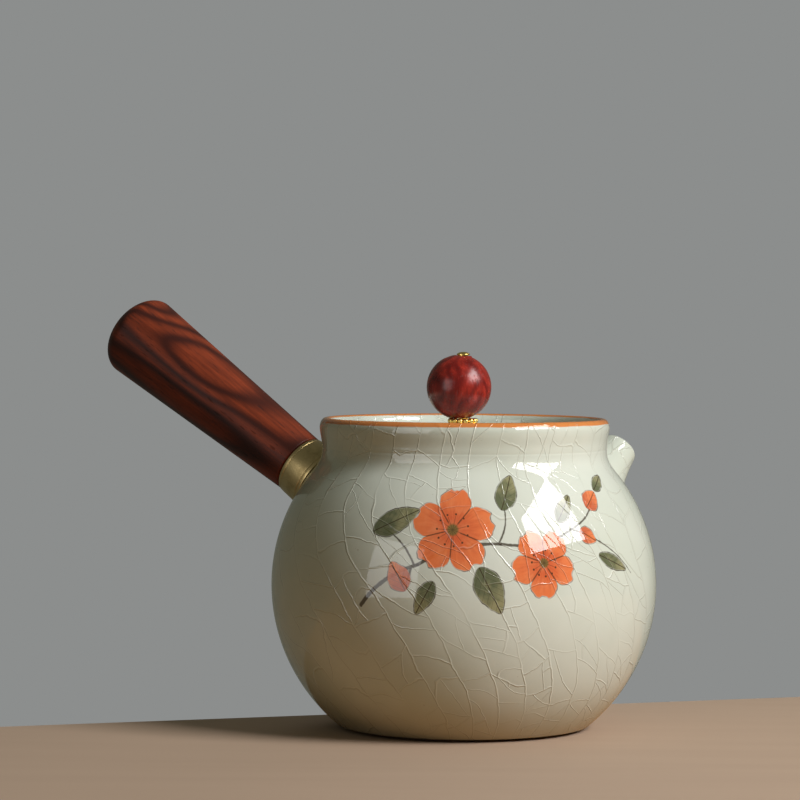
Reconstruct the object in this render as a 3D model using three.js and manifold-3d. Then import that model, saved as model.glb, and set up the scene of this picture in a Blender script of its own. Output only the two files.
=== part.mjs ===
// Side-handled teapot: a round crackle-glazed pot with a short spout, a wooden side handle
// in a brass ferrule, and a loose inset lid with a wooden bead for a knob.
// Millimetres, +Z up. The origin is the middle of the foot's flat underside. The painted
// side faces -Y, the spout points to the right and back, the handle to the left and back.
import * as THREE from 'three';
import { mergeVertices } from 'three/addons/utils/BufferGeometryUtils.js';
import Module from 'manifold-3d';

const wasm = await Module();
wasm.setup();

// Shared values
const fitGap = 0.3; // running and seating gap between neighbouring pieces
const overrun = 2; // how far a cutter runs past what it cuts

// Pot: outside
const neckRadius = 34.85; // at the turned line where the neck starts
const bellySwell = 12.15; // how far the belly stands out past the neck
const bellyHeight = 35; // height of the widest ring
const shoulderRise = 26.6; // from the widest ring up to the shoulder's hollow
const shoulderHollowWidth = 3.05; // the soft hollow between shoulder and neck
const shoulderHollowHeight = 6;
const neckHeight = 8; // from the turned line to the rim's crown
const lipFlare = 0.55; // how far the lip stands out past the neck
const lipCrownHeight = 2.3; // from the lip's widest ring to its crown
const baseTuck = 16.3; // how far the glazed edge lies inside the belly
const footStep = 3.1; // the bare foot's edge inside the glazed edge
const footHeight = 0.7;
const turnedLineDepth = 0.25; // the line scratched round the neck
const turnedLineHalfHeight = 0.45;

// Pot: inside
const wallThickness = 3.2;
const floorThickness = 4.2;
const neckWall = 3.1; // at the lid's seat
const lidSeatDepth = 7.4; // from the rim's crown down to the ledge
const ledgeWidth = 3.6; // the ledge that carries the lid
const ledgeThickness = 3.4;

// Spout
const spoutTurn = 47.5; // degrees from +X, seen from above
const spoutTilt = 41; // degrees above level
const spoutAxisDrop = 19.7; // its line meets the pot's axis this far below the widest ring
const spoutLength = 21; // from the pot's skin to the mouth
const spoutTipRadius = 4.85;
const spoutTipWall = 1;
const spoutRootWall = 2.3;
const spoutRootRadius = 11;
const spoutFlareLength = 20; // over which the tip widens to the root
const spoutRootDepth = 3; // how far the root is cut from, inside the pot's skin
const strainerRings = 2; // rings of holes round the middle one
const strainerPitch = 3.5;
const strainerHoleRadius = 1.2;

// Handle
const handleTurn = 148; // degrees from +X, seen from above
const handleTilt = 32.1; // degrees above level
const handleAxisDrop = 2.95; // its line meets the pot's axis this far below the widest ring
const socketLength = 1.7; // from the pot's skin to the shoulder that meets the ferrule
const socketShoulderRadius = 8.5;
const spigotRadius = 6.5; // the part of the socket inside the ferrule
const spigotEdge = 0.4;
const ferruleLength = 7.6;
const ferrulePotRadius = 8.4;
const ferruleGripRadius = 7.8;
const ferruleEdge = 0.4; // the rounded edges of the ferrule
const tenonRadius = 4.2;
const tenonLength = 8;
const gripRootRadius = 7.7;
const gripTailRadius = 10.9;
const gripLength = 65.4;
const gripTailRounding = 6.1;
const gripRootEdge = 0.3;

// Lid
const lidRimThickness = 2.8;
const lidRise = 0.9; // how far the middle stands above the rim
const lidEdge = 0.8; // the rounded edges of the lid
const lidSideGap = 0.7; // between the lid and the neck
const lidShift = 0.4; // the lid lies a little to one side in its seat
const knobSeatRadius = 5; // the flat in the middle of the lid
const skirtGap = 0.7; // between the skirt and the ledge's edge
const skirtThickness = 3;
const skirtDepth = 5.7;
const ventRadius = 1.2;
const ventReach = 20; // from the lid's axis

// Knob
const beadRadius = 7.9;
const beadOffset = 1; // the bead is bored a little off its middle
const beadFlatRadius = 2.3; // the flat that the collar meets
const screwRadius = 1.25;
const screwHeadRadius = 1.65;
const screwHeadHeight = 0.8;
const screwHeadSink = 0.35; // how far the bead's top is cut down for the head
const screwTipLength = 1.1; // past the nut
const threadPitch = 0.6;
const threadDepth = 0.12;
const screwHoleGap = 0.4;
const collarHeight = 2.8;
const collarFootRadius = 3.7;
const collarFootHeight = 1.3;
const collarWaistRadius = 2.2;
const collarTopRadius = 2;
const collarBeads = 12;
const collarBeadRadius = 0.62;
const washerRadius = 4.6;
const washerThickness = 1;
const nutHalfWidth = 2.9; // from the middle to a flat side
const nutThickness = 2.4;
const nutCornerCut = 0.35;

// Fineness of the round shapes
const potSegments = 56;
const lidSegments = 56;
const middleSegments = 32;
const smallSegments = 20;
const holeSegments = 10;

// Sizes that follow
const bellyRadius = neckRadius + bellySwell;
const shoulderRadius = neckRadius + shoulderHollowWidth;
const shoulderHeight = bellyHeight + shoulderRise;
const neckBottom = shoulderHeight + shoulderHollowHeight;
const rimHeight = neckBottom + neckHeight;
const lipRadius = neckRadius + lipFlare;
const glazedEdgeRadius = bellyRadius - baseTuck;
const footRadius = glazedEdgeRadius - footStep;
const seatRadius = lipRadius - neckWall;
const ledgeRadius = seatRadius - ledgeWidth;
const ledgeTop = rimHeight - lidSeatDepth;
const ledgeBottom = ledgeTop - ledgeThickness;

// Depth of the ellipse that leaves the widest ring level and passes a narrower ring.
function ellipseDepth(narrowRadius, distance) {
  return distance / Math.sqrt(1 - (narrowRadius / bellyRadius) ** 2);
}
const upperDepth = ellipseDepth(shoulderRadius, shoulderRise);
const lowerDepth = ellipseDepth(glazedEdgeRadius, bellyHeight - footHeight);

const glaze = new THREE.MeshStandardMaterial({ color: 0xcfd0c2, roughness: 0.18, metalness: 0 });
const rosewood = new THREE.MeshStandardMaterial({ color: 0x5e2417, roughness: 0.4, metalness: 0 });
const beadWood = new THREE.MeshStandardMaterial({ color: 0x541512, roughness: 0.2, metalness: 0 });
const brass = new THREE.MeshStandardMaterial({ color: 0xb08d45, roughness: 0.3, metalness: 1 });
const silicone = new THREE.MeshStandardMaterial({ color: 0xd8d6cc, roughness: 0.7, metalness: 0 });

// A closed shape turned round Z from [radius, height] points.
function turned(points, segments) {
  const outline = points.map(([radius, height]) => new THREE.Vector2(radius, height));
  return new THREE.LatheGeometry(outline, segments).rotateX(Math.PI / 2);
}

// A cylinder along Z from one height to another.
function cylinder(radius, low, high, segments) {
  const shape = new THREE.CylinderGeometry(radius, radius, high - low, segments);
  return shape.rotateX(Math.PI / 2).translate(0, 0, (low + high) / 2);
}

// Points on an ellipse about (middleRadius, middleHeight), angles from the level in radians.
function arc(middleRadius, middleHeight, width, height, from, to, steps) {
  const points = [];
  for (let step = 0; step <= steps; step += 1) {
    const angle = from + ((to - from) * step) / steps;
    const radius = middleRadius + width * Math.cos(angle);
    points.push([radius, middleHeight + height * Math.sin(angle)]);
  }
  return points;
}

// Points on a curve that leaves start and reaches end by way of two handles.
function bend(start, startHandle, endHandle, end, steps) {
  const [a, b, c, d] = [start, startHandle, endHandle, end].map(([x, y]) => new THREE.Vector2(x, y));
  return new THREE.CubicBezierCurve(a, b, c, d).getPoints(steps).map((point) => [point.x, point.y]);
}

// A solid that can be joined and cut, from a closed geometry.
function solidOf(geometry) {
  const bare = geometry.clone();
  bare.deleteAttribute('normal');
  bare.deleteAttribute('uv');
  const merged = mergeVertices(bare);
  const corners = [];
  for (let i = 0; i < merged.index.count; i += 3) {
    const triangle = [0, 1, 2].map((k) => merged.index.getX(i + k));
    if (new Set(triangle).size === 3) {
      corners.push(...triangle);
    }
  }
  return new wasm.Manifold(new wasm.Mesh({
    numProp: 3,
    vertProperties: new Float32Array(merged.attributes.position.array),
    triVerts: new Uint32Array(corners),
  }));
}

// The geometry of a joined or cut solid.
function geometryOf(solid) {
  const mesh = solid.getMesh();
  const geometry = new THREE.BufferGeometry();
  geometry.setAttribute('position', new THREE.BufferAttribute(mesh.vertProperties, mesh.numProp));
  geometry.setIndex(new THREE.BufferAttribute(mesh.triVerts, 1));
  geometry.computeVertexNormals();
  return geometry;
}

// The first geometry less all the others.
function cut(geometry, ...cutters) {
  return geometryOf(cutters.reduce((solid, cutter) => solid.subtract(solidOf(cutter)), solidOf(geometry)));
}

const teapot = new THREE.Group();

function addPiece(parent, name, geometry, material) {
  const mesh = new THREE.Mesh(geometry, material);
  mesh.name = name;
  parent.add(mesh);
  return mesh;
}

// A group whose Z runs out along a line from the pot's axis.
function slantedGroup(height, turn, tilt) {
  const group = new THREE.Group();
  group.position.set(0, 0, height);
  group.rotation.set(0, Math.PI / 2 - THREE.MathUtils.degToRad(tilt), THREE.MathUtils.degToRad(turn), 'ZYX');
  group.updateMatrixWorld();
  teapot.add(group);
  return group;
}

// The pot's outside, from the glazed edge up to the rim's crown, moved out by a gap.
function potOutside(gap) {
  const lowAngle = -Math.asin((bellyHeight - footHeight) / lowerDepth);
  const highAngle = Math.asin(shoulderRise / upperDepth);
  const width = bellyRadius + gap;
  const lower = arc(0, bellyHeight, width, lowerDepth + gap, lowAngle, 0, 8);
  const upper = arc(0, bellyHeight, width, upperDepth + gap, 0, highAngle, 7);
  const [shoulderR, shoulderZ] = upper.at(-1);
  const slope = [-width * Math.sin(highAngle), (upperDepth + gap) * Math.cos(highAngle)];
  const reach = shoulderHollowHeight / 3 / slope[1];
  const hollow = bend(
    [shoulderR, shoulderZ],
    [shoulderR + slope[0] * reach, shoulderZ + slope[1] * reach],
    [neckRadius + gap, neckBottom - shoulderHollowHeight / 2],
    [neckRadius + gap, neckBottom - turnedLineHalfHeight],
    4,
  );
  return [...lower, ...upper.slice(1), ...hollow.slice(1)];
}

// The pot's solid silhouette moved out by the fitting gap, which trims what is set on it.
function potCutter() {
  const outside = potOutside(fitGap);
  const top = rimHeight;
  return turned([[0, footHeight], ...outside, [neckRadius + fitGap, top], [0, top]], potSegments);
}

function potBody(spout) {
  const neck = [
    [neckRadius - turnedLineDepth, neckBottom],
    [neckRadius, neckBottom + turnedLineHalfHeight],
  ];
  const lipBottom = rimHeight - lipCrownHeight;
  const crownRadius = (lipRadius + seatRadius) / 2;
  const crownWidth = (lipRadius - seatRadius) / 2;
  const lip = arc(crownRadius, lipBottom, crownWidth, lipCrownHeight, 0, Math.PI, 6);
  const innerLow = bellyHeight - lowerDepth + wallThickness;
  const innerRadius = bellyRadius - wallThickness;
  const innerLower = bellyHeight - innerLow;
  const innerUpper = upperDepth - wallThickness;
  const floorAngle = -Math.asin((bellyHeight - floorThickness) / innerLower);
  const topAngle = Math.asin((shoulderRise - wallThickness) / innerUpper);
  const insideUpper = arc(0, bellyHeight, innerRadius, innerUpper, topAngle, 0, 5);
  const insideLower = arc(0, bellyHeight, innerRadius, innerLower, 0, floorAngle, 6);
  const profile = [
    [0, 0],
    [footRadius - footHeight / 2, 0],
    [footRadius, footHeight / 2],
    [footRadius, footHeight],
    ...potOutside(0),
    ...neck,
    ...lip,
    [seatRadius, ledgeTop],
    [ledgeRadius, ledgeTop],
    [ledgeRadius, ledgeBottom],
    ...insideUpper,
    ...insideLower.slice(1),
    [0, floorThickness],
  ];
  const holes = strainerPlaces().map(([x, y]) => {
    const hole = cylinder(strainerHoleRadius, spout.holeStart, spout.holeEnd, holeSegments);
    return hole.translate(x, y, 0).applyMatrix4(spout.group.matrixWorld);
  });
  return cut(turned(profile, potSegments), ...holes);
}

// Hole places in rings of six, twelve and so on round the spout's line.
function strainerPlaces() {
  const places = [[0, 0]];
  for (let ring = 1; ring <= strainerRings; ring += 1) {
    for (let side = 0; side < 6; side += 1) {
      for (let step = 0; step < ring; step += 1) {
        const from = (side * Math.PI) / 3;
        const along = from + (2 * Math.PI) / 3;
        const x = ring * Math.cos(from) + step * Math.cos(along);
        const y = ring * Math.sin(from) + step * Math.sin(along);
        places.push([x * strainerPitch, y * strainerPitch]);
      }
    }
  }
  return places;
}

// Where a slanted line through the pot's axis leaves the pot's skin, as a length along it.
function skinReach(height, tilt) {
  const rise = Math.sin(THREE.MathUtils.degToRad(tilt));
  const run = Math.cos(THREE.MathUtils.degToRad(tilt));
  const start = (height - bellyHeight) / upperDepth;
  const a = (run / bellyRadius) ** 2 + (rise / upperDepth) ** 2;
  const b = (start * rise) / upperDepth;
  const c = start ** 2 - 1;
  return (-b + Math.sqrt(b * b - a * c)) / a;
}

function spoutPlan() {
  const height = bellyHeight - spoutAxisDrop;
  const skin = skinReach(height, spoutTilt);
  return {
    group: slantedGroup(height, spoutTurn, spoutTilt),
    tip: skin + spoutLength,
    root: skin - spoutRootDepth,
    holeStart: skin - wallThickness - overrun * 2,
    holeEnd: skin + overrun,
  };
}

// A short stub, wide at the pot and hollowed in towards its mouth, trimmed to the pot's skin.
function spoutShape(plan) {
  const length = plan.tip - plan.root;
  const steps = 8;
  const outside = [];
  const inside = [];
  for (let step = 0; step <= steps; step += 1) {
    const back = (length * step) / steps;
    const share = back / spoutFlareLength;
    const flare = (spoutRootRadius - spoutTipRadius) * (share + 2 * share * share) / 3;
    const wall = spoutTipWall + (spoutRootWall - spoutTipWall) * share;
    outside.push([spoutTipRadius + flare, plan.tip - back]);
    inside.push([spoutTipRadius + flare - wall, plan.tip - back]);
  }
  const profile = [...inside, ...outside.reverse()];
  profile.push(profile[0]);
  const toGroup = plan.group.matrixWorld.clone().invert();
  return cut(turned(profile, middleSegments), potCutter().applyMatrix4(toGroup));
}

const spout = spoutPlan();
addPiece(teapot, 'pot_body', potBody(spout), glaze);
addPiece(spout.group, 'spout', spoutShape(spout), glaze);

// The handle's group: its Z runs from the pot's axis out along the grip.
const handleAxisHeight = bellyHeight - handleAxisDrop;
const handle = slantedGroup(handleAxisHeight, handleTurn, handleTilt);
const handleSkin = skinReach(handleAxisHeight, handleTilt);
const socketReach = handleSkin + socketLength;
const ferruleStart = socketReach + fitGap;
const ferruleEnd = ferruleStart + ferruleLength;
const gripStart = ferruleEnd + fitGap;
const tenonEnd = gripStart - tenonLength;
const spigotEnd = gripStart - fitGap;

// The pot's stub: a shoulder against the ferrule and a hollow spigot inside it.
function handleSocket() {
  const root = handleSkin - wallThickness;
  const boreRadius = tenonRadius + fitGap;
  const profile = [
    [0, root],
    [socketShoulderRadius, root],
    [socketShoulderRadius, socketReach - ferruleEdge],
    [socketShoulderRadius - ferruleEdge, socketReach],
    [spigotRadius, socketReach],
    [spigotRadius, spigotEnd - spigotEdge],
    [spigotRadius - spigotEdge, spigotEnd],
    [boreRadius, spigotEnd],
    [boreRadius, tenonEnd - fitGap],
    [0, tenonEnd - fitGap],
  ];
  const toGroup = handle.matrixWorld.clone().invert();
  return cut(turned(profile, middleSegments), potCutter().applyMatrix4(toGroup));
}

function handleFerrule() {
  const boreRadius = spigotRadius + fitGap;
  return turned([
    [boreRadius, ferruleStart],
    [ferrulePotRadius - ferruleEdge, ferruleStart],
    [ferrulePotRadius, ferruleStart + ferruleEdge],
    [ferruleGripRadius, ferruleEnd - ferruleEdge],
    [ferruleGripRadius - ferruleEdge / 2, ferruleEnd],
    [boreRadius, ferruleEnd],
    [boreRadius, ferruleStart],
  ], middleSegments);
}

// A tapered grip, thicker and rounded at its tail, with a tenon turned on its root.
function handleGrip() {
  const tailStart = gripStart + gripLength - gripTailRounding;
  const tail = arc(0, tailStart, gripTailRadius, gripTailRounding, 0, Math.PI / 2, 8);
  return turned([
    [0, tenonEnd],
    [tenonRadius - gripRootEdge, tenonEnd],
    [tenonRadius, tenonEnd + gripRootEdge],
    [tenonRadius, gripStart],
    [gripRootRadius - gripRootEdge, gripStart],
    [gripRootRadius, gripStart + gripRootEdge],
    ...tail.slice(0, -1),
    [0, tailStart + gripTailRounding],
  ], middleSegments);
}

addPiece(handle, 'handle_socket', handleSocket(), glaze);
addPiece(handle, 'handle_ferrule', handleFerrule(), brass);
addPiece(handle, 'handle_grip', handleGrip(), rosewood);

// The lid's group: its Z is the lid's own axis.
const lidGroup = new THREE.Group();
lidGroup.position.set(-lidShift, 0, 0);
teapot.add(lidGroup);

const lidRadius = seatRadius - lidSideGap;
const lidUnderside = ledgeTop + fitGap;
const lidTop = lidUnderside + lidRimThickness + lidRise;
const screwHoleRadius = screwRadius + screwHoleGap;
const collarBottom = lidTop + fitGap;
const collarTop = collarBottom + collarHeight;
const beadBottom = collarTop + fitGap;
const beadHeight = beadBottom + Math.sqrt(beadRadius ** 2 - beadFlatRadius ** 2);
const beadTop = beadHeight + Math.sqrt(beadRadius ** 2 - beadOffset ** 2) - screwHeadSink;
const headBottom = beadTop + fitGap;
const washerTop = lidUnderside - fitGap;
const nutTop = washerTop - washerThickness - fitGap;
const nutBottom = nutTop - nutThickness;
const screwTip = nutBottom - screwTipLength;

// A domed disc with a flat for the knob and a skirt that keeps it in its seat.
function lidShape() {
  const skirtOuter = ledgeRadius - skirtGap;
  const skirtInner = skirtOuter - skirtThickness;
  const rimTop = lidUnderside + lidRimThickness;
  const dome = bend(
    [lidRadius - lidEdge, rimTop],
    [(lidRadius + knobSeatRadius) / 2, rimTop + lidRise / 2],
    [(lidRadius + knobSeatRadius) / 2, lidTop],
    [knobSeatRadius, lidTop],
    5,
  );
  const profile = [
    [screwHoleRadius, lidUnderside],
    [skirtInner, lidUnderside],
    [skirtInner, lidUnderside - skirtDepth],
    [skirtOuter - lidEdge, lidUnderside - skirtDepth],
    [skirtOuter, lidUnderside - skirtDepth + lidEdge],
    [skirtOuter, lidUnderside],
    [lidRadius - lidEdge, lidUnderside],
    [lidRadius, lidUnderside + lidEdge],
    [lidRadius, rimTop - lidEdge],
    ...dome,
    [screwHoleRadius, lidTop],
    [screwHoleRadius, lidUnderside],
  ];
  const vent = cylinder(ventRadius, lidUnderside - overrun, lidTop + overrun, holeSegments);
  return cut(turned(profile, lidSegments), vent.translate(0, ventReach, 0));
}

// The wooden bead, bored for the screw and cut flat where the collar and the head meet it.
function knobBead() {
  const bead = new THREE.SphereGeometry(beadRadius, middleSegments, middleSegments / 2);
  bead.rotateX(Math.PI / 2).translate(-beadOffset, 0, beadHeight);
  const bore = cylinder(screwHoleRadius, beadBottom - overrun, beadTop + overrun, smallSegments);
  const lowFlat = cylinder(beadFlatRadius, beadBottom - overrun, beadBottom, smallSegments);
  const highFlat = cylinder(screwHeadRadius + fitGap, beadTop, beadTop + overrun, smallSegments);
  return cut(bead, bore, lowFlat, highFlat);
}

// A round-headed screw from the bead's top down through the lid and the nut.
function knobScrew() {
  const head = arc(0, headBottom, screwHeadRadius, screwHeadHeight, 0, Math.PI / 2, 5);
  const threads = [];
  for (let low = screwTip + threadPitch; low < washerTop; low += threadPitch) {
    threads.push([screwRadius - threadDepth, low]);
    threads.push([screwRadius, low + threadPitch / 2]);
  }
  return turned([
    [0, screwTip],
    [screwRadius - threadDepth * 2, screwTip],
    ...threads,
    [screwRadius, headBottom],
    ...head.slice(0, -1),
    [0, headBottom + screwHeadHeight],
  ], smallSegments);
}

// A turned collar with a ring of beads round its foot.
function knobCollar() {
  const beadRing = collarFootRadius - collarBeadRadius;
  const beadMiddle = collarBottom + collarFootHeight + collarBeadRadius / 2;
  const core = turned([
    [screwHoleRadius, collarBottom],
    [collarFootRadius, collarBottom],
    [collarFootRadius, collarBottom + collarFootHeight],
    [beadRing, collarBottom + collarFootHeight + collarBeadRadius],
    [collarWaistRadius, collarTop - collarBeadRadius],
    [collarTopRadius, collarTop],
    [screwHoleRadius, collarTop],
    [screwHoleRadius, collarBottom],
  ], smallSegments);
  let collar = solidOf(core);
  for (let i = 0; i < collarBeads; i += 1) {
    const angle = (2 * Math.PI * i) / collarBeads;
    const bead = new THREE.SphereGeometry(collarBeadRadius, 8, 5).rotateX(Math.PI / 2);
    bead.translate(beadRing * Math.cos(angle), beadRing * Math.sin(angle), beadMiddle);
    collar = collar.add(solidOf(bead));
  }
  return geometryOf(collar);
}

function knobWasher() {
  const low = washerTop - washerThickness;
  return turned([
    [screwHoleRadius, low],
    [washerRadius, low],
    [washerRadius, washerTop],
    [screwHoleRadius, washerTop],
    [screwHoleRadius, low],
  ], smallSegments);
}

// A six-sided nut whose corners are turned off at both faces.
function knobNut() {
  const corner = nutHalfWidth / Math.cos(Math.PI / 6);
  const prism = cylinder(corner, nutBottom, nutTop, 6);
  const blank = turned([
    [0, nutBottom],
    [corner - nutCornerCut, nutBottom],
    [corner, nutBottom + nutCornerCut],
    [corner, nutTop - nutCornerCut],
    [corner - nutCornerCut, nutTop],
    [0, nutTop],
  ], smallSegments);
  const bore = cylinder(screwHoleRadius, nutBottom - overrun, nutTop + overrun, smallSegments);
  return geometryOf(solidOf(prism).intersect(solidOf(blank)).subtract(solidOf(bore)));
}

addPiece(lidGroup, 'lid', lidShape(), glaze);
addPiece(lidGroup, 'knob_bead', knobBead(), beadWood);
addPiece(lidGroup, 'knob_screw', knobScrew(), brass);
addPiece(lidGroup, 'knob_collar', knobCollar(), brass);
addPiece(lidGroup, 'knob_washer', knobWasher(), silicone);
addPiece(lidGroup, 'knob_nut', knobNut(), brass);

export default teapot;
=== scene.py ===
"""A hand-painted teapot with crackle glaze, a turned side handle and a bead on its loose lid.

Sizes are in millimetres, and built() turns them into metres. The wrap map of each piece is in
millimetres too: round the piece, and along its profile. The board, lamps and camera are in metres.
"""

import math

import bpy
import numpy as np
from mathutils import Matrix, Vector


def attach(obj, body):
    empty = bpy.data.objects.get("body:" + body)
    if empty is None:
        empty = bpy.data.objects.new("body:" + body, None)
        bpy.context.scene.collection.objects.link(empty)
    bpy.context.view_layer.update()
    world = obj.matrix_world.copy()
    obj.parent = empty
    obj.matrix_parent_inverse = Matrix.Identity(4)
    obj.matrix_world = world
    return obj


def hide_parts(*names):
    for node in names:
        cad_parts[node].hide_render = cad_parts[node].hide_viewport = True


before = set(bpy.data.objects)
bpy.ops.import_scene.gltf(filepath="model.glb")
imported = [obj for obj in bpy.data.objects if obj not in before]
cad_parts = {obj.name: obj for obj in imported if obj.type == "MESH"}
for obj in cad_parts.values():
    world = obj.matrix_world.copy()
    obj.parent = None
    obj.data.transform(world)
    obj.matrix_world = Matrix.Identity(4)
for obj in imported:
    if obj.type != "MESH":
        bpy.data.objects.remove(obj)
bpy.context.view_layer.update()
scene = bpy.context.scene

MM = 0.001
FIT = 0.3

# The pot, the seat for its lid, and its foot
BELLY_R, BELLY_Z = 47.0, 35.0
NECK_R, NECK_Z = 34.85, 68.2
SHOULDER_R, SHOULDER_Z = 37.9, 61.6
RIM_Z, LIP_R, LIP_CROWN = 75.6, 35.4, 2.3
GLAZED_R, FOOT_R, FOOT_Z = 30.7, 27.6, 0.7
SEAT_R, LEDGE_R, LEDGE_Z, LEDGE_UNDER = 32.3, 28.7, 68.2, 64.8
WALL, FLOOR = 3.2, 4.2
STRAINER_RINGS, STRAINER_PITCH, STRAINER_HOLE_R = 2, 3.5, 1.2

# The lid, with its skirt, its vent hole and the bore for the knob's screw
LID_X, LID_R, LID_UNDER, LID_EDGE_Z, LID_TOP = -0.4, 31.6, 68.5, 71.3, 72.2
SKIRT_INNER_R, SKIRT_OUTER_R, SKIRT_LOW = 25.0, 28.0, 62.8
VENT_OUT, VENT_R, KNOB_BORE_R = 20.0, 1.2, 1.65

# The knob's bead, screw and collar, with the ring of small beads on the collar
BEAD_R, BEAD_Z, BEAD_ASIDE, BEAD_LOW, BEAD_TOP = 7.9, 83.16, 1.0, 75.6, 90.65
SCREW_R, SCREW_TIP_R, SCREW_TIP, SCREW_HEAD_R, SCREW_HEAD = 1.25, 1.01, 63.4, 1.65, 90.95
THREAD_ROOT_R, THREAD_PITCH, THREAD_END = 1.13, 0.6, 68.2
COLLAR_R, COLLAR_LOW, COLLAR_TOP = 3.7, 72.5, 75.3
PEARLS, PEARL_R, PEARL_RING_R, PEARL_Z = 14, 0.67, 3.05, 74.9


def ellipse_depth(narrow_r, distance):
    """Depth of the ellipse that leaves the belly's ring level and passes a narrower ring."""
    return distance / math.sqrt(1 - (narrow_r / BELLY_R) ** 2)


UPPER = ellipse_depth(SHOULDER_R, SHOULDER_Z - BELLY_Z)
LOWER = ellipse_depth(GLAZED_R, BELLY_Z - FOOT_Z)


class Line:
    """A slanted line out of the pot's axis, on which a spout or handle is turned."""

    def __init__(self, height, turn, tilt):
        turn, tilt = math.radians(turn), math.radians(tilt)
        run, rise = math.cos(tilt), math.sin(tilt)
        self.start = np.array((0.0, 0.0, height))
        self.out = np.array((run * math.cos(turn), run * math.sin(turn), rise))
        self.side = np.array((-math.sin(turn), math.cos(turn), 0.0))
        self.over = np.cross(self.out, self.side)
        low = (height - BELLY_Z) / UPPER
        a = (run / BELLY_R) ** 2 + (rise / UPPER) ** 2
        b = low * rise / UPPER
        self.skin = (-b + math.sqrt(b * b - a * (low * low - 1))) / a

    def place(self, local):
        """Points given across and along the line, in the pot's frame."""
        local = np.asarray(local, float)
        across = local[..., :1] * self.side + local[..., 1:2] * self.over
        return self.start + across + local[..., 2:] * self.out


SPOUT = Line(BELLY_Z - 19.7, 47.5, 41.0)
HANDLE = Line(BELLY_Z - 2.95, 148.0, 32.1)
UPRIGHT = Line(0.0, 0.0, 90.0)

# The handle, from the pot's skin outwards: socket and spigot, ferrule, grip with its tenon
SOCKET_R, SOCKET_BORE_R, SPIGOT_R = 8.5, 4.5, 6.5
SOCKET_TOP = HANDLE.skin + 1.7
FERRULE_BORE_R, FERRULE_LOW_R, FERRULE_TOP_R = 6.8, 8.4, 7.8
FERRULE_LOW = SOCKET_TOP + FIT
FERRULE_TOP = FERRULE_LOW + 7.6
GRIP_R, GRIP_SWELL, GRIP_LENGTH, TAIL_LENGTH = 7.7, 3.12, 59.3, 6.08
GRIP_LOW = FERRULE_TOP + FIT
TENON_R, TENON_END = 4.2, GRIP_LOW - 8.0


# Profiles are lists of (radius, height) that keep the solid on their left.
def arc(middle_r, middle_z, width, height, start, end, steps):
    angles = np.linspace(math.radians(start), math.radians(end), steps + 1)
    return [(middle_r + width * math.cos(a), middle_z + height * math.sin(a)) for a in angles]


def bend(a, b, c, d, steps):
    """A curve from a to d that leaves and arrives by way of b and c."""
    a, b, c, d = (np.array(p, float) for p in (a, b, c, d))
    line = []
    for t in np.linspace(0, 1, steps + 1):
        s = 1 - t
        line.append(tuple(s**3 * a + 3 * s * s * t * b + 3 * s * t * t * c + t**3 * d))
    return line


def softened(corners, steps=4):
    """Rounds each (x, y, reach) corner off by its reach."""
    line = []
    last = len(corners) - 1
    for i, (x, y, reach) in enumerate(corners):
        here = np.array((x, y), float)
        if reach == 0:
            line.append((x, y))
            continue
        back = np.array(corners[max(i - 1, 0)][:2]) - here
        on = np.array(corners[min(i + 1, last)][:2]) - here
        first = here + back / np.linalg.norm(back) * min(reach, np.linalg.norm(back) / 2)
        second = here + on / np.linalg.norm(on) * min(reach, np.linalg.norm(on) / 2)
        for t in np.linspace(0, 1, steps + 1):
            line.append(tuple((1 - t) ** 2 * first + 2 * t * (1 - t) * here + t * t * second))
    return line


def pot_skin(fine=1.0):
    """The pot's outside from its glazed edge up to the neck's turned line."""
    low = -math.degrees(math.asin((BELLY_Z - FOOT_Z) / LOWER))
    high = math.degrees(math.asin((SHOULDER_Z - BELLY_Z) / UPPER))
    lower = arc(0, BELLY_Z, BELLY_R, LOWER, low, 0, int(44 * fine))
    upper = arc(0, BELLY_Z, BELLY_R, UPPER, 0, high, int(36 * fine))
    slope_r, slope_z = -BELLY_R * math.sin(math.radians(high)), UPPER * math.cos(math.radians(high))
    reach = (NECK_Z - SHOULDER_Z) / 3 / slope_z
    hollow = bend(
        (SHOULDER_R, SHOULDER_Z),
        (SHOULDER_R + slope_r * reach, SHOULDER_Z + slope_z * reach),
        (NECK_R, NECK_Z - 3),
        (NECK_R, NECK_Z - 0.45),
        int(18 * fine),
    )
    return lower + upper[1:] + hollow[1:]


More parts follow.
